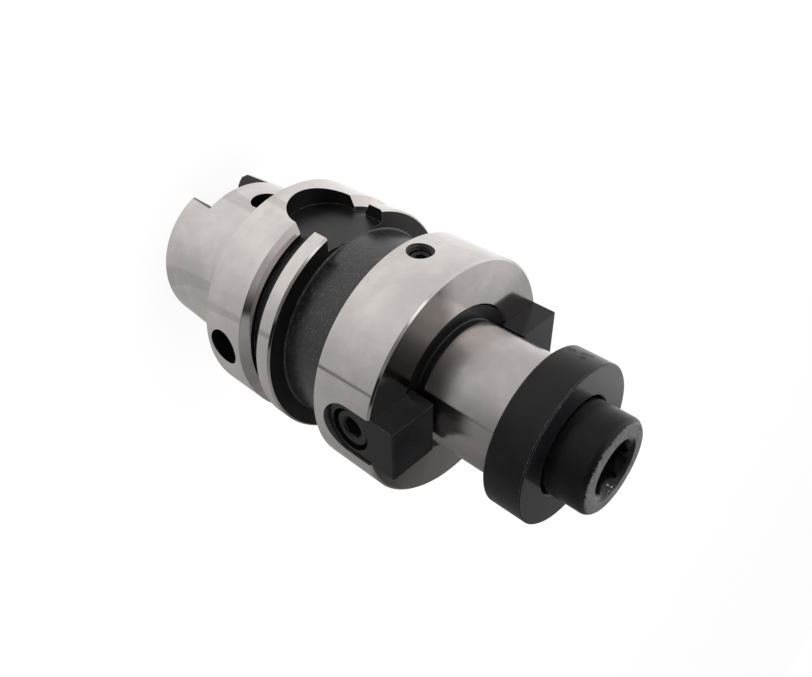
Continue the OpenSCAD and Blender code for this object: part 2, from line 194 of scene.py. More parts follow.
class Material(Graph):
    """A material on one Principled shader, in the coordinates of the object."""

    def __init__(self, name):
        self.material = bpy.data.materials.new(name)
        self.material.use_nodes = True
        super().__init__(self.material.node_tree)
        self.shader = self.tree.nodes["Principled BSDF"]
        self.position = self.add("ShaderNodeTexCoord").outputs["Object"]
        split = self.add("ShaderNodeSeparateXYZ")
        self.link(self.position, split.inputs[0])
        self.x, self.y, self.z = split.outputs
        squares = self.plus(self.times(self.x, self.x), self.times(self.y, self.y))
        self.radius = self.math("SQRT", squares)
        self.angle = self.math("ARCTAN2", self.y, self.x)

    def round_the_axis(self, turns, along, outwards):
        """Coordinates that run round, along and out from the holder's axis."""
        joined = self.add("ShaderNodeCombineXYZ")
        self.link(self.times(self.angle, turns), joined.inputs[0])
        self.link(self.times(self.z, along), joined.inputs[1])
        self.link(self.times(self.radius, outwards), joined.inputs[2])
        return joined.outputs[0]

    def tones_around(self, stops):
        """Tones by direction, in degrees round the axis from -180 to 180."""
        radians = [(math.radians(degrees), tone) for degrees, tone in stops]
        return self.tone_curve(self.angle, radians, -math.pi, math.pi)

    def spot(self, at, inner, outer):
        """1 within the inner distance of a point, 0 beyond the outer one."""
        distance = self.vector_math("DISTANCE", self.position, at)["Value"]
        return self.ramp(distance, outer, inner)

    def noise(self, scale, detail=2.0, roughness=0.5, vector=None):
        node = self.add("ShaderNodeTexNoise")
        self.link(self.position if vector is None else vector, node.inputs["Vector"])
        node.inputs["Scale"].default_value = scale
        node.inputs["Detail"].default_value = detail
        node.inputs["Roughness"].default_value = roughness
        return node.outputs["Fac"]

    def rounded(self, radius):
        """Normal that is rounded over the edges."""
        node = self.add("ShaderNodeBevel", samples=8)
        node.inputs["Radius"].default_value = radius
        return node.outputs[0]

    def edge(self, radius, low, high):
        """1 along edges, where a rounded normal departs from the flat one."""
        flat = self.add("ShaderNodeNewGeometry")
        return self.ramp(self.dot(self.rounded(radius), flat.outputs["Normal"]), high, low)

    def bump(self, height, strength, distance, normal=None):
        node = self.add("ShaderNodeBump")
        node.inputs["Strength"].default_value = strength
        node.inputs["Distance"].default_value = distance
        self.link(height, node.inputs["Height"])
        if normal is not None:
            self.link(normal, node.inputs["Normal"])
        return node.outputs[0]

    def finish(self, color, roughness, normal=None, **fixed):
        self.link(color, self.shader.inputs["Base Color"])
        self.link(roughness, self.shader.inputs["Roughness"])
        if normal is not None:
            self.link(normal, self.shader.inputs["Normal"])
        for name, value in fixed.items():
            self.shader.inputs[name.replace("_", " ")].default_value = value
        return self.material


# Materials. Noise scales are per metre, so 1000 gives grains of about a millimetre.

# Ground steel where it is stained, clean, dark in its lines, and bright on its edges.
STEEL_TONES = (
    (0.585, 0.553, 0.540), (0.705, 0.657, 0.633), (0.57, 0.53, 0.515), (0.72, 0.68, 0.66)
)
STEEL_SPECK = (0.25, 0.235, 0.23)


def ground_steel(name, tint=1.0, rough=0.075, lay=0.07, turns=1.2, blur=0.8, around=()):
    """Ground steel: faint lines round the axis, soft stains, a few small specks, bright edges.

    lay is the strength of the lines, turns the number of their changes round the axis, blur
    how far they draw reflections out, and around a painted sheen: tones by direction round the
    axis that multiply the colour.
    """
    g = Material(name)
    lines = g.noise(1.0, 3.0, 0.6, g.round_the_axis(turns, 2600, 2600))
    bands = g.noise(1.0, 2.0, 0.5, g.round_the_axis(0.7, 420, 420))
    mottle = g.noise(85, 4.0, 0.55)
    cloud = g.noise(240, 4.0, 0.6)
    specks = g.ramp(g.noise(1900, 2.0, 0.5), 0.745, 0.775)
    edges = g.edge(0.12 * MM, 0.90, 0.985)
    stained, clean, dark, bright = [tuple(tint * part for part in tone) for tone in STEEL_TONES]
    tone = g.mix(g.ramp(mottle, 0.30, 0.70), stained, clean)
    tone = g.laid_on(tone, g.ramp(cloud, 0.42, 0.66), 0.5, dark)
    tone = g.laid_on(tone, g.ramp(bands, 0.35, 0.70), 0.14, dark)
    tone = g.laid_on(tone, g.ramp(lines, 0.45, 0.75), lay, dark)
    tone = g.laid_on(tone, specks, 0.35, STEEL_SPECK)
    # Painted sheen and shade: the colour is multiplied by tones that change with direction round
    # the axis.
    if around:
        tone = g.vector_math("MULTIPLY", tone, g.tones_around(around))[0]
    tone = g.laid_on(tone, edges, 0.7, bright)
    satin = g.ramp(cloud, 0.30, 0.70, rough, rough + 0.03)
    satin = g.plus(satin, g.times(lines, 0.04), g.times(edges, 0.12))
    normal = g.bump(lines, lay, 0.004 * MM, g.rounded(0.15 * MM))
    tangent = g.add("ShaderNodeTangent", direction_type="RADIAL", axis="Z")
    g.link(tangent.outputs[0], g.shader.inputs["Tangent"])
    return g.finish(
        tone, satin, normal, Metallic=1.0, Anisotropic=blur, Anisotropic_Rotation=0.25
    )


def turned_steel():
    """Turned, unground steel for the tube: coarser lines and a duller surface."""
    g = Material("turned_steel")
    lines = g.noise(1.0, 3.0, 0.6, g.round_the_axis(0.8, 3200, 3200))
    cloud = g.noise(300, 4.0, 0.6)
    tone = g.mix(g.ramp(cloud, 0.3, 0.7), (0.47, 0.45, 0.43), (0.58, 0.555, 0.535))
    rough = g.plus(g.ramp(cloud, 0.3, 0.7, 0.20, 0.28), g.times(lines, 0.1))
    return g.finish(tone, rough, g.bump(lines, 0.25, 0.01 * MM), Metallic=1.0)


# The bottom of a nick in black oxide, and how deep its relief is.
NICK_TONE = (0.0006, 0.0006, 0.0008)
NICK_DEPTH = 0.30 * MM


def black_oxide(
    name, dark, rough, gloss, grain, grain_scale=2600, speck=4.5,
    wear=0.5, wear_mm=0.13, worn=0.17, nicks=()
):
    """Black oxide on steel: satin and slightly grainy, with thin light lines on the edges.

    dark is its darkest tone, grain the strength of its specks, speck their brightness over
    dark, wear the strength of the light lines, worn their tone, and nicks the sunk dark
    marks, each with its place, its reach and the noise level at which it starts.
    """
    g = Material(name)
    fine = g.noise(grain_scale, 3.0, 0.6)
    cloud = g.noise(130, 4.0, 0.6)
    patches = g.ramp(g.noise(420, 3.0, 0.6), 0.35, 0.65)
    rubs = g.ramp(g.noise(800, 3.0, 0.65), 0.66, 0.74)
    edges = g.times(g.edge(wear_mm * MM, 0.80, 0.97), g.ramp(patches, 0, 1, 0.25, 1))
    light = tuple(2.0 * value for value in dark)
    grit = tuple(speck * value for value in dark)
    tone = g.mix(g.ramp(cloud, 0.30, 0.72), dark, light)
    tone = g.laid_on(tone, g.ramp(fine, 0.50, 0.72), grain, grit)
    tone = g.laid_on(tone, rubs, 0.25, grit)
    tone = g.laid_on(tone, edges, wear, (worn, 0.96 * worn, 0.94 * worn))
    dull = g.times(fine, 0.05)
    sunk = 0.0
    for at, reach, level in nicks:
        pitted = g.ramp(g.noise(3600, 2.0, 0.5), level, level + 0.07)
        nick = g.times(pitted, g.spot(at, 0.3 * reach, reach))
        tone = g.mix(nick, tone, NICK_TONE)
        dull = g.plus(dull, g.times(nick, 0.7))
        sunk = g.larger(sunk, nick)
    satin = g.plus(g.ramp(cloud, 0.3, 0.7, rough - 0.04, rough + 0.05), dull)
    normal = g.bump(fine, grain, 0.02 * MM)
    if nicks:
        normal = g.bump(g.times(sunk, -1.0), 1.0, NICK_DEPTH, normal)
    return g.finish(tone, satin, normal, Specular_IOR_Level=gloss)


# The side of the screw's head where its worn edge lines are made lighter, a painted highlight,
# and the bare flecks in its mouth.
WEAR_AND_HIGHLIGHT_SIDE = (0.67, -0.74, 0)
SOCKET_FLECKS = (-0.0004, 0.0068, 0.1040)


def worn_screw():
    """Black screw: rough blackened skin, rubbed and finely pitted on the front of its head."""
    g = Material("black_oxide_screw")
    fine = g.noise(2400, 3.0, 0.6)
    cloud = g.noise(160, 4.0, 0.6)
    streaks = g.ramp(g.noise(1.0, 3.0, 0.6, g.round_the_axis(5.0, 260, 260)), 0.50, 0.80)
    patches = g.ramp(g.noise(420, 4.0, 0.65), 0.35, 0.65)
    pits = g.ramp(g.noise(2600, 2.0, 0.5), 0.60, 0.70)
    side = g.dot(g.position, WEAR_AND_HIGHLIGHT_SIDE)

    # The front ring: it reaches a little down the socket, and its outer boundary is ragged.
    ragged = g.times(g.minus(g.noise(1000, 4.0, 0.7), 0.5), 1.3 * MM)
    low = g.ramp(
        g.radius, MOUTH_EDGE_R - 0.9 * MM, MOUTH_EDGE_R, HEAD_TOP_Z - 0.5 * MM,
        HEAD_TOP_Z - 0.3 * MM
    )
    at_front = g.ramp(g.minus(g.plus(g.z, ragged), low), -0.15 * MM, 0.15 * MM)
    in_mouth = g.ramp(g.radius, MOUTH_EDGE_R + 0.1 * MM, MOUTH_EDGE_R - 0.1 * MM)
    far_mouth = g.times(g.ramp(side, 1 * MM, -3 * MM), in_mouth)
    front = g.times(at_front, g.minus(1.0, far_mouth))
    rim = g.times(front, g.ramp(patches, 0, 1, 0.72, 1))
    from_mouth = g.size(g.minus(g.radius, MOUTH_EDGE_R))
    mouth_line = g.ramp(from_mouth, 0.4 * MM, 0.1 * MM)

    edges = g.times(g.edge(0.16 * MM, 0.78, 0.97), g.ramp(patches, 0, 1, 0.15, 1))
    # Painted highlight: the light lines of edge wear grow stronger towards that side of the head.
    edges = g.times(edges, g.ramp(side, -2 * MM, 8 * MM, 0.2, 1.0))
    glints = g.ramp(g.noise(1500, 4.0, 0.75), 0.60, 0.68)
    bare = g.ramp(g.noise(1900, 4.0, 0.75), 0.57, 0.63)
    flecks = g.times(g.spot(SOCKET_FLECKS, 0.6 * MM, 2.2 * MM), bare)
    sunk = g.times(pits, g.larger(g.times(front, 0.30), mouth_line))

    tone = g.mix(g.ramp(cloud, 0.30, 0.72), (0.0009, 0.0009, 0.0012), (0.0030, 0.0028, 0.0031))
    tone = g.laid_on(tone, streaks, 0.18, (0.018, 0.016, 0.016))
    tone = g.laid_on(tone, rim, 0.75, (0.128, 0.123, 0.128))
    tone = g.laid_on(tone, edges, 0.75, (0.36, 0.35, 0.35))
    tone = g.laid_on(tone, g.times(glints, g.larger(rim, edges)), 0.55, (0.34, 0.33, 0.33))
    tone = g.mix(flecks, tone, (0.50, 0.48, 0.44))
    tone = g.laid_on(tone, g.times(sunk, at_front), 0.8, (0.008, 0.008, 0.008))
    rough = g.plus(g.ramp(cloud, 0.3, 0.7, 0.22, 0.36), g.times(front, 0.1))
    height = g.plus(fine, g.times(pits, at_front, -1.5))
    return g.finish(tone, rough, g.bump(height, 0.4, 0.03 * MM), Specular_IOR_Level=0.26)


def seal_rubber():
    """Black rubber of the sealing rings, faintly dusty."""
    g = Material("seal_rubber")
    dust = g.noise(900, 4.0, 0.6)
    tone = g.mix(g.ramp(dust, 0.4, 0.7), (0.012, 0.012, 0.013), (0.035, 0.034, 0.034))
    return g.finish(tone, g.ramp(dust, 0.3, 0.7, 0.45, 0.6), g.bump(dust, 0.2, 0.02 * MM))


# Painted sheen and shade of the turned seat face, multiplied into its colour: direction in
# degrees round the axis, share.
SEAT_PAINTED_SHEEN = (
    (-180, 0.78), (-149, 0.70), (-134, 0.95), (-110, 1.08), (-86, 1.10), (-75, 0.54),
    (-50, 0.50), (-38, 0.45), (-20, 0.60), (10, 1.0), (50, 1.40), (90, 1.65), (130, 1.25),
    (180, 0.78)
)
# Nicks: place, reach and the noise level they start at.
WASHER_NICKS = (
    ((-0.0068, -0.0191, 0.0861), 1.5 * MM, 0.52),
    ((-0.0081, -0.0186, 0.0887), 1.3 * MM, 0.52),
    ((-0.0087, -0.0183, 0.0899), 0.9 * MM, 0.52),
    ((-0.0057, -0.0194, 0.0896), 1.1 * MM, 0.52)
)
KEY_PUNCH_MARK = (((0.0241, 0.0006, 0.0670), 0.5 * MM, 0.0),)

GROUND = ground_steel("ground_steel")
PILOT = ground_steel("ground_pilot", tint=0.77, rough=0.115, lay=0.14, blur=0.95)
FACED = ground_steel("faced_steel", tint=0.88, rough=0.10, lay=0.25, turns=0.6)
SEAT = ground_steel(
    "faced_seat", tint=0.92, rough=0.10, lay=0.25, turns=0.6, around=SEAT_PAINTED_SHEEN
)
BEVEL = ground_steel("bevelled_steel", tint=0.87, rough=0.05, lay=0.02, blur=0.0)
TURNED = turned_steel()
OXIDE = black_oxide(
    "black_oxide_body", (0.0022, 0.0021, 0.0024), rough=0.31, gloss=0.40, grain=0.22,
    wear=0.95, wear_mm=0.16, worn=0.30
)
# Black oxide of the slot walls, made lighter than the body's to paint in the light that reaches
# them: a painted-light copy of the same finish.
OXIDE_SLOT_PAINTED_LIGHT = black_oxide(
    "black_oxide_slots_painted_light", (0.026, 0.0245, 0.025), rough=0.42, gloss=0.4, grain=0.22
)
OXIDE_NECK = black_oxide(
    "black_oxide_neck", (0.0054, 0.0052, 0.0055), rough=0.30, gloss=0.76, grain=0.95,
    grain_scale=1900, speck=10, wear=0.7, worn=0.24
)
OXIDE_KEY = black_oxide(
    "black_oxide_key", (0.0034, 0.0033, 0.0039), rough=0.18, gloss=0.27, grain=0.10,
    wear=0.6, worn=0.22, nicks=KEY_PUNCH_MARK
)
OXIDE_WASHER = black_oxide(
    "black_oxide_washer", (0.0024, 0.0023, 0.0029), rough=0.22, gloss=0.30, grain=0.09,
    wear=0.95, wear_mm=0.16, worn=0.45, nicks=WASHER_NICKS
)
OXIDE_FACED = black_oxide(
    "black_oxide_washer_face", (0.0030, 0.0028, 0.0034), rough=0.14, gloss=1.0, grain=0.04,
    wear=0.9, wear_mm=0.16, worn=0.40
)
OXIDE_SMALL = black_oxide(
    "black_oxide_small_screws", (0.004, 0.004, 0.0045), rough=0.34, gloss=0.35, grain=0.15,
    wear=0.6, wear_mm=0.1
)
SCREW = worn_screw()
RUBBER = seal_rubber()


# Where the body is ground and where it is black

# How much of its normal a face has along a direction if it barely looks that way, looks that
# way, or lies flat across it; and the range of the bevels that catch a line of light.
BARELY = 0.3
LOOKING = 0.5
FLAT = 0.95
SLANT_LOW = 0.6
SLANT_HIGH = 0.9
# Zones by which the faces of the body are told apart: depths of the bevels and the lip, and
# their places.
BEVEL_IN = 0.7 * MM
FLANGE_BEVEL = 0.6 * MM
COLLAR_BACK_BEVEL = 0.7 * MM
COLLAR_BEVEL = 0.6 * MM
SHANK_BEVEL = 1.5 * MM
PILOT_BEVEL = 1.1 * MM
PILOT_HOLE_R = 8.9 * MM
LIP_R = RECESS_R - 0.25 * MM
LIP_DEPTH = 0.4 * MM
FACE_BAND = 1.0 * MM
CLAMPING_Z = -20 * MM
# The walls of the keys' slots lie beyond these distances from the axis and from X = 0.
SLOT_R = 26 * MM
SLOT_X = 10 * MM
# Room for a mesh's own error above the seat and beside a bore.
ROOM = 0.1 * MM


def near(value, target, reach=0.06 * MM):
    return abs(value - target) < reach


def shank_is_ground(radius, z, outwards, up):
    """The open end of the shank with its bevel, and the mouth of its bore."""
    at_end = near(z, SHANK_END_Z) or z < SHANK_END_Z + SHANK_BEVEL and radius > MOUTH_R - ROOM
    in_mouth = near(radius, MOUTH_R) and z < CLAMPING_Z and outwards < -LOOKING
    return at_end and (up < -BARELY or outwards > LOOKING) or in_mouth


def flange_is_ground(radius, z, outwards, up):
    """The flange's face, its rim with the bevels, and the flanks of its gripper groove."""
    on_face = near(z, 0) and up < -LOOKING
    if radius < FLANK_R - 0.05 * MM:
        return on_face
    flank_at = GROOVE_HALF - (FLANGE_R - radius) / math.sqrt(3)
    on_flank = near(abs(z - GROOVE_Z), flank_at, ROOM) and abs(up) > LOOKING
    at_rim = near(radius, FLANGE_R) or z < FACE_BAND or z > FLANGE_TOP_Z - FLANGE_BEVEL
    return outwards > LOOKING and at_rim or on_face or on_flank


def collar_is_ground(radius, z, outwards, up):
    """The seat face and the rim of the collar with its bevels."""
    in_bevel = z > SEAT_Z - COLLAR_BEVEL or z < COLLAR_BACK_Z + COLLAR_BACK_BEVEL
    at_rim = near(radius, COLLAR_R) or in_bevel and radius > COLLAR_R - BEVEL_IN
    return outwards > LOOKING and at_rim or near(z, SEAT_Z) and up > LOOKING


def pilot_is_ground(radius, z, outwards, up):
    """The pilot's wall, its bevel and its end face."""
    at_end = z > PILOT_END_Z - PILOT_BEVEL and radius > PILOT_HOLE_R
    on_wall = near(radius, PILOT_R) or at_end
    return outwards > LOOKING and on_wall or at_end and up > LOOKING


def is_ground(corner, normal):
    """True on the faces that are ground bright after blackening."""
    radius = math.hypot(corner.x, corner.y)
    z, up = corner.z, normal.z
    outwards = (normal.x * corner.x + normal.y * corner.y) / max(radius, MM)
    face = (radius, z, outwards, up)
    taper_r = GAUGE_R + (z - GAUGE_Z) * TAPER_SLOPE
    if z < FACE_BAND and outwards > LOOKING and near(radius, taper_r, 0.12 * MM):
        return True
    if z < -FACE_BAND:
        return shank_is_ground(*face)
    on_top = near(z, FLANGE_TOP_Z) and radius > FLANGE_R - BEVEL_IN
    if z < FLANGE_TOP_Z - 0.01 * MM or on_top:
        return flange_is_ground(*face)
    if SEAT_Z - LIP_DEPTH < z < SEAT_Z + ROOM and near(radius, LIP_R, 0.4 * MM):
        lip = LOOKING < up < FLAT and corner.y < 0
        return lip or near(z, SEAT_Z) and up > FLAT
    if COLLAR_BACK_Z < z < SEAT_Z + ROOM and radius > RECESS_R:
        return collar_is_ground(*face)
    return z > PILOT_FOOT_Z + 0.2 * MM and pilot_is_ground(*face)


def finish_of(corners, normal):
    """The finish of one face of the body."""
    middle = sum(corners, Vector()) / len(corners)
    radius = math.hypot(middle.x, middle.y)
    if not all(is_ground(corner, normal) for corner in corners):
        in_collar = COLLAR_BACK_Z + MM < middle.z < SEAT_Z - MM
        # The slot walls get the lighter copy of black oxide, which is painted light.
        if in_collar and radius > SLOT_R and abs(middle.x) > SLOT_X:
            return OXIDE_SLOT_PAINTED_LIGHT
        looks_out = normal.x * middle.x + normal.y * middle.y > 0
        on_neck = looks_out and FLANGE_TOP_Z < middle.z < COLLAR_BACK_Z
        return OXIDE_NECK if on_neck else OXIDE
    lift = abs(normal.z)
    if lift > FLAT:
        return SEAT if near(middle.z, SEAT_Z) else FACED
    if SLANT_LOW < lift < SLANT_HIGH and middle.z > SHANK_END_Z + 3 * MM:
        return BEVEL
    on_pilot = middle.z > SEAT_Z + ROOM or radius < PILOT_R + MM
    return PILOT if on_pilot else GROUND


def dress(node, *materials):
    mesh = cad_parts[node].data
    mesh.materials.clear()
    for material in materials:
        mesh.materials.append(material)
    return mesh


BODY_FINISHES = (OXIDE, OXIDE_NECK, OXIDE_SLOT_PAINTED_LIGHT, GROUND, PILOT, FACED, SEAT, BEVEL)
body_mesh = dress("holder_body", *BODY_FINISHES)
for polygon in body_mesh.polygons:
    corners = [body_mesh.vertices[i].co for i in polygon.vertices]
    polygon.material_index = BODY_FINISHES.index(finish_of(corners, polygon.normal))

for node in ("drive_key_right", "drive_key_left"):
    dress(node, OXIDE_KEY)
for node in (
    "key_screw_right", "key_screw_left", "plug_screw_front", "plug_screw_back", "tube_nut"
):
    dress(node, OXIDE_SMALL)
dress("retaining_screw", SCREW)
for polygon in dress("clamp_washer", OXIDE_WASHER, OXIDE_FACED).polygons:
    polygon.material_index = 1 if abs(polygon.normal.z) > FLAT else 0
dress("coolant_tube", TURNED)
for node in ("tube_o_ring_front", "tube_o_ring_rear"):
    dress(node, RUBBER)


# Pieces that the CAD frame shows more simply

# The least angle at which an edge of a new piece stays sharp.
SHARP_ANGLE = math.radians(32)


def new_piece(name, mesh, material, body):
    """Puts a closed mesh in the scene, smooth but for its sharp edges."""
    mesh.validate()
    mesh.polygons.foreach_set("use_smooth", [True] * len(mesh.polygons))
    mesh.set_sharp_from_angle(angle=SHARP_ANGLE)
    mesh.materials.append(material)
    piece = bpy.data.objects.new(name, mesh)
    bpy.context.scene.collection.objects.link(piece)
    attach(piece, body)
    return piece


def spun_mesh(name, columns, contour, closed=False):
    """Mesh round the Z axis: contour(angle) gives the (radius, z) points of one column."""
    shape = bmesh.new()
    rings = []
    for k in range(columns):
        angle = FULL_TURN * k / columns
        turn = (math.cos(angle), math.sin(angle))
        rings.append([shape.verts.new((r * turn[0], r * turn[1], z)) for r, z in contour(angle)])
    steps = len(rings[0])
    for k in range(columns):
        here, there = rings[k], rings[(k + 1) % columns]
        for i in range(steps if closed else steps - 1):
            j = (i + 1) % steps
            shape.faces.new((here[i], there[i], there[j], here[j]))
    bmesh.ops.remove_doubles(shape, verts=shape.verts, dist=1e-7)
    bmesh.ops.dissolve_degenerate(shape, edges=shape.edges, dist=1e-7)
    bmesh.ops.recalc_face_normals(shape, faces=shape.faces)
    mesh = bpy.data.meshes.new(name)
    shape.to_mesh(mesh)
    shape.free()
    return mesh


def thread_depth(angle, z, pitch):
    """0 at the crest of a thread and 1 at its root, with both rounded."""
    phase = (z / pitch - angle / FULL_TURN) % 1
    return min(max(1.35 * abs(2 * phase - 1) - 0.15, 0), 1)


def arc(centre, radius, start, end, steps):
    angles = [math.radians(start + (end - start) * i / steps) for i in range(steps + 1)]
    return [(centre[0] + radius * math.cos(a), centre[1] + radius * math.sin(a)) for a in angles]


SCREW_COLUMNS = 96
# The socket's floor: radius and height of its low middle, and the height of its corners.
SOCKET_FLOOR_R = 5.2 * MM
SOCKET_FLOOR_RISE = 0.5 * MM
SOCKET_CORNER_RISE = 0.9 * MM
# The funnel at the socket's mouth: steps, slope at its edge, and how fast it steepens.
FUNNEL_STEPS = 6
FUNNEL_SLOPE = 0.17
FUNNEL_CURVE = 0.30
# The rounded front edge of the head: millimetres in from its wall and down from its top.
HEAD_EDGE = ((1.1, 0), (0.55, 0.45), (0.12, 1.1), (0, 1.7))
HEAD_BACK_BEVEL = 0.3 * MM
HEAD_FILLET = 0.5 * MM
# The thread below the head: where it starts, how long it runs out, its depth and its steps.
THREAD_TOP_Z = HEAD_SEAT_Z - 1.2 * MM
THREAD_RUN_OUT = 2.5 * MM
THREAD_DEPTH = 1.15 * MM
THREAD_STEP = 0.2 * MM
TIP_BEVEL = 1.3 * MM


def retaining_screw_contour(angle):
    """One column of the socket head screw, from the bottom of its socket to its tip."""
    wall_r = SOCKET_AF / 2 / math.cos(angle % (math.pi / 3) - math.pi / 6)
    socket_z = HEAD_TOP_Z - SOCKET_DEPTH
    points = [
        (0, socket_z), (SOCKET_FLOOR_R, socket_z + SOCKET_FLOOR_RISE),
        (wall_r, socket_z + SOCKET_CORNER_RISE)
    ]
    for i in range(FUNNEL_STEPS + 1):
        inwards = (MOUTH_EDGE_R - wall_r) * (1 - i / FUNNEL_STEPS)
        drop = FUNNEL_SLOPE * inwards + FUNNEL_CURVE * inwards ** 3 / MM ** 2
        points.append((MOUTH_EDGE_R - inwards, HEAD_TOP_Z - drop))
    points += [(HEAD_R - back * MM, HEAD_TOP_Z - down * MM) for back, down in HEAD_EDGE]
    points += [(HEAD_R, HEAD_SEAT_Z + HEAD_BACK_BEVEL), (HEAD_R - HEAD_BACK_BEVEL, HEAD_SEAT_Z)]
    points += arc((SCREW_R + HEAD_FILLET, HEAD_SEAT_Z - HEAD_FILLET), HEAD_FILLET, 90, 180, 4)
    z = THREAD_TOP_Z
    while z > SCREW_TIP_Z + 0.01 * MM:
        run_out = min((THREAD_TOP_Z - z) / THREAD_RUN_OUT, 1)
        depth = THREAD_DEPTH * run_out * thread_depth(angle, z, SCREW_PITCH)
        tip_r = SCREW_R - TIP_BEVEL + (z - SCREW_TIP_Z)
        points.append((min(SCREW_R - depth, tip_r), z))
        z -= THREAD_STEP
    return points + [(SCREW_R - TIP_BEVEL, SCREW_TIP_Z), (0, SCREW_TIP_Z)]


screw_mesh = spun_mesh("retaining_screw_detailed", SCREW_COLUMNS, retaining_screw_contour)
screw = new_piece("retaining_screw_detailed", screw_mesh, SCREW, "screw")
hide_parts("retaining_screw")

PLUG_COLUMNS = 48
PLUG_STEPS = 24
PLUG_PITCH = 0.75 * MM
# The threaded wall above a plug: its two ends, its back, its roots, its depth and its run-out.
PLUG_THREAD_LOW = PLUG_FACE_R + 0.02 * MM
PLUG_THREAD_HIGH = 31.0 * MM
PLUG_BACK_R = PLUG_HOLE_R - 0.01 * MM
PLUG_ROOT_R = PLUG_HOLE_R - 0.03 * MM
PLUG_THREAD_DEPTH = 0.33 * MM
PLUG_RUN_OUT = 0.3 * MM


def plug_thread_contour(angle):
    """One column of the threaded wall that shows above a plug screw, along local Z."""
    points = [(PLUG_BACK_R, PLUG_THREAD_HIGH), (PLUG_BACK_R, PLUG_THREAD_LOW)]
    for i in range(PLUG_STEPS + 1):
        z = PLUG_THREAD_LOW + (PLUG_THREAD_HIGH - PLUG_THREAD_LOW) * i / PLUG_STEPS
        ease = min((PLUG_THREAD_HIGH - z) / PLUG_RUN_OUT, 1)
        height = PLUG_THREAD_DEPTH * ease * (1 - thread_depth(angle, z, PLUG_PITCH))
        points.append((PLUG_ROOT_R - height, z))
    return points


for name, turn in (("plug_thread_front", math.pi / 2), ("plug_thread_back", -math.pi / 2)):
    mesh = spun_mesh(name, PLUG_COLUMNS, plug_thread_contour, closed=True)
    mesh.transform(Matrix.Translation((0, 0, PLUG_Z)) @ Matrix.Rotation(turn, 4, "X"))
    new_piece(name, mesh, OXIDE_SMALL, "holder")


# Floor, light and camera

FLOOR_HALF = 6.0
FLOOR_TONE = 0.92
# The share of the floor's tone that is its own glow, so that it shows white behind the object.
FLOOR_GLOW = 0.9
# Between these distances from the axis the tone that metal mirrors fades to its far level.
FLOOR_NEAR = 0.06
FLOOR_FAR = 0.27
# Tone of the floor as metal mirrors it: direction in degrees round the axis, tone.
FLOOR_TONES = (
    (-180, 1.12), (-150, 1.05), (-110, 0.98), (-60, 0.97), (-38, 0.81), (-15, 0.58), (15, 0.46),
    (45, 0.42), (75, 0.30), (105, 0.24), (128, 0.55), (150, 1.10), (180, 1.12)
)
# Thin dark lines on the floor that only metal mirrors: start in millimetres, direction in
# degrees, and the share of light that is left at distances in metres along them.
STRIPES = (
    ((8.0, 0.5), 0.0, ((0.0, 1.0), (0.012, 0.88), (0.085, 0.75), (0.112, 0.15), (0.4, 0.10))),
    ((4.0, -9.0), -102.7, ((0.0, 1.0), (0.012, 0.80), (0.065, 0.80), (0.085, 1.0), (0.4, 1.0)))
)
STRIPE_LENGTH = 0.4
STRIPE_CORE = 1.5 * MM
STRIPE_EDGE = 4.5 * MM


def floor_material():
    """Floor that shows white behind the object and keeps its shadow; metal mirrors its tones."""
    g = Material("studio_floor")
    g.finish((FLOOR_TONE, FLOOR_TONE, FLOOR_TONE), 0.9)
    tone = g.tones_around(FLOOR_TONES)
    fade = g.minus(0.80, g.times(tone, 0.58))
    tone = g.times(tone, g.minus(1.0, g.times(g.ramp(g.radius, FLOOR_NEAR, FLOOR_FAR), fade)))
    for start, degrees, stops in STRIPES:
        cos, sin = math.cos(math.radians(degrees)), math.sin(math.radians(degrees))
        run = g.dot(g.position, (cos, sin, 0))
        side = g.dot(g.position, (-sin, cos, 0))
        offset = (start[1] * cos - start[0] * sin) * MM
        left = g.tone_curve(run, stops, 0.0, STRIPE_LENGTH)
        clear = g.ramp(g.size(g.minus(side, offset)), STRIPE_CORE, STRIPE_EDGE)
        tone = g.times(tone, g.larger(left, clear))
    to_camera = g.light_path("Is Camera Ray")
    to_metal = g.light_path("Is Glossy Ray")
    shown = g.larger(to_camera, g.larger(to_metal, g.light_path("Is Transmission Ray")))
    glow = g.add("ShaderNodeEmission")
    g.link(g.larger(to_camera, tone), glow.inputs["Strength"])
    blend = g.add("ShaderNodeMixShader")
    g.link(g.times(shown, FLOOR_GLOW), blend.inputs[0])
    g.link(g.shader.outputs[0], blend.inputs[1])
    g.link(glow.outputs[0], blend.inputs[2])
    g.link(blend.outputs[0], g.tree.nodes["Material Output"].inputs[0])
    return g.material


floor_mesh = bpy.data.meshes.new("floor")
floor_corners = [
    (-FLOOR_HALF, -FLOOR_HALF, 0), (FLOOR_HALF, -FLOOR_HALF, 0), (FLOOR_HALF, FLOOR_HALF, 0),
    (-FLOOR_HALF, FLOOR_HALF, 0)
]
floor_mesh.from_pydata(floor_corners, [], [(0, 1, 2, 3)])
floor = bpy.data.objects.new("floor", floor_mesh)
floor.location.z = cad_box[0][2]
floor_mesh.materials.append(floor_material())
bpy.context.scene.collection.objects.link(floor)

# The studio as metal mirrors it: a wide soft light with a sharp end, a faint one opposite, a
# small glint, a little fill from low down, and a dark flag beside the soft light.
SOFT_LIGHT = (-0.785, -0.366, 0.500)
SOFT_TONES = (
    (0.0, 0.16), (0.25, 0.26), (0.45, 0.46), (0.60, 0.72), (0.75, 0.82), (0.89, 1.03), (1.0, 1.06)
)
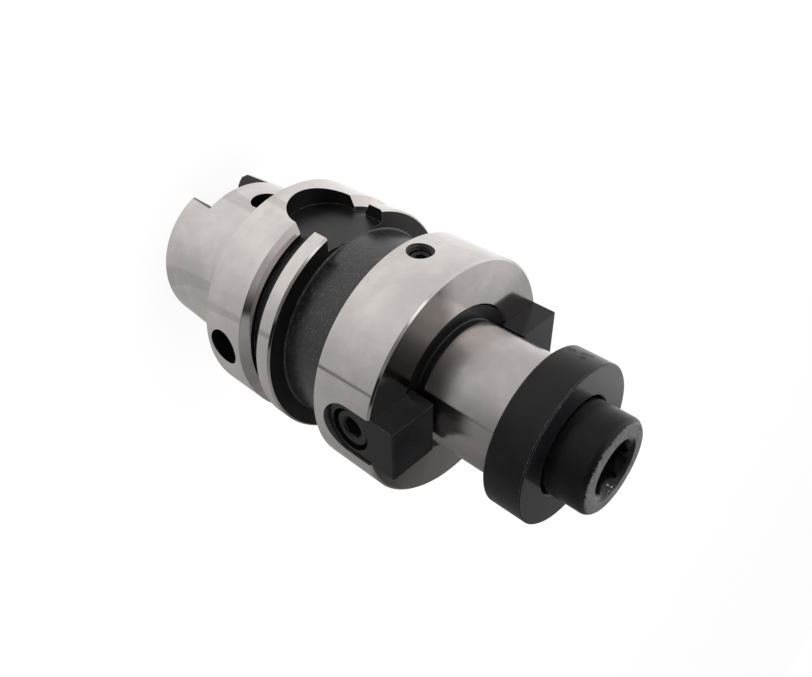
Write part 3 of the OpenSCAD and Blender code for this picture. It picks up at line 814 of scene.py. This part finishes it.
# Tone of the soft light across its sharp end, and the direction beyond which that end is past.
SOFT_END_ACROSS = (-0.719, -0.695, 0)
SOFT_END_AWAY = (0.695, -0.719, 0)
SOFT_END = (
    (-0.15, 0.07), (-0.06, 0.08), (-0.03, 0.13), (-0.005, 0.33), (0.03, 0.46), (0.05, 0.88),
    (0.08, 1.0), (0.15, 1.1)
)
FAINT_LIGHT = (0.369, 0.527, 0.766)
GLINT = (0.021, -0.615, 0.788)
FLAG_AT = (0.990, 0.139, 0)
FLAG_ACROSS = (-0.139, 0.990, 0)
FLAG_LEAVES = 0.07
# The plain tone of the sky for everything but metal.
PLAIN_SKY = 0.90

world = bpy.data.worlds.new("studio")
bpy.context.scene.world = world
world.use_nodes = True
sky = Graph(world.node_tree)
direction = sky.add("ShaderNodeTexCoord").outputs["Generated"]
towards_soft = sky.dot(direction, SOFT_LIGHT)
soft = sky.times(
    sky.tone_curve(towards_soft, SOFT_TONES), sky.ramp(towards_soft, -0.35, 0.05, 0.35, 1.0)
)
end = sky.tone_curve(sky.dot(direction, SOFT_END_ACROSS), SOFT_END, -0.15, 0.15)
end = sky.larger(end, sky.ramp(sky.dot(direction, SOFT_END_AWAY), -0.3, 0.0))
soft = sky.times(soft, end)
faint = sky.ramp(sky.dot(direction, FAINT_LIGHT), 0.55, 1.0, 0.0, 0.27)
flag = sky.ramp(sky.size(sky.dot(direction, FLAG_ACROSS)), 0.12, 0.22)
flag = sky.larger(flag, sky.ramp(sky.dot(direction, FLAG_AT), 0.42, 0.25))
glint = sky.ramp(sky.dot(direction, GLINT), 0.978, 0.996, 0.0, 0.90)
height = sky.dot(direction, (0, 0, 1))
low = sky.plus(sky.ramp(height, 0.50, 0.43, 0.0, 0.09), sky.ramp(height, 0.40, 0.35, 0.0, 0.10))
mirrored = sky.plus(glint, low, sky.plus(soft, faint))
mirrored = sky.times(mirrored, sky.plus(FLAG_LEAVES, sky.times(flag, 1 - FLAG_LEAVES)))
to_metal = sky.light_path("Is Glossy Ray")
lit = sky.plus(sky.times(to_metal, sky.minus(mirrored, PLAIN_SKY)), PLAIN_SKY)
strength = sky.larger(sky.light_path("Is Camera Ray"), lit)
background = sky.tree.nodes["Background"]
sky.link((1, 1, 1), background.inputs["Color"])
sky.link(strength, background.inputs["Strength"])

# Soft lamps, all aimed at the middle of the part: name, place, size and power.
LIT_POINT = Vector((0, 0, 0.04))
LAMPS = (("key", (-0.25, -0.75, 0.75), 0.7, 5), ("top", (0.05, 0.05, 1.1), 0.8, 4))

for name, at, size, power in LAMPS:
    data = bpy.data.lights.new(name, "AREA")
    data.shape = "DISK"
    data.size = size
    data.energy = power
    lamp = bpy.data.objects.new(name, data)
    lamp.visible_glossy = False
    lamp.location = at
    lamp.rotation_euler = (LIT_POINT - Vector(at)).to_track_quat("-Z", "Y").to_euler()
    bpy.context.scene.collection.objects.link(lamp)

camera_data = bpy.data.cameras.new("camera")
camera_data.sensor_fit = "HORIZONTAL"
camera_data.sensor_width = SENSOR_W
camera_data.lens = CAMERA_FOCAL * SENSOR_W / IMAGE_W
camera_data.clip_start = 0.005
camera = bpy.data.objects.new("camera", camera_data)
back = -CAMERA_AHEAD.normalized()
up = (CAMERA_UP - CAMERA_UP.dot(back) * back).normalized()
axes = Matrix((up.cross(back), up, back)).transposed()
camera.matrix_world = Matrix.Translation(CAMERA_AT) @ axes.to_4x4()
bpy.context.scene.collection.objects.link(camera)
bpy.context.scene.camera = camera
bpy.context.scene.view_settings.view_transform = "Standard"

bpy.context.view_layer.update()
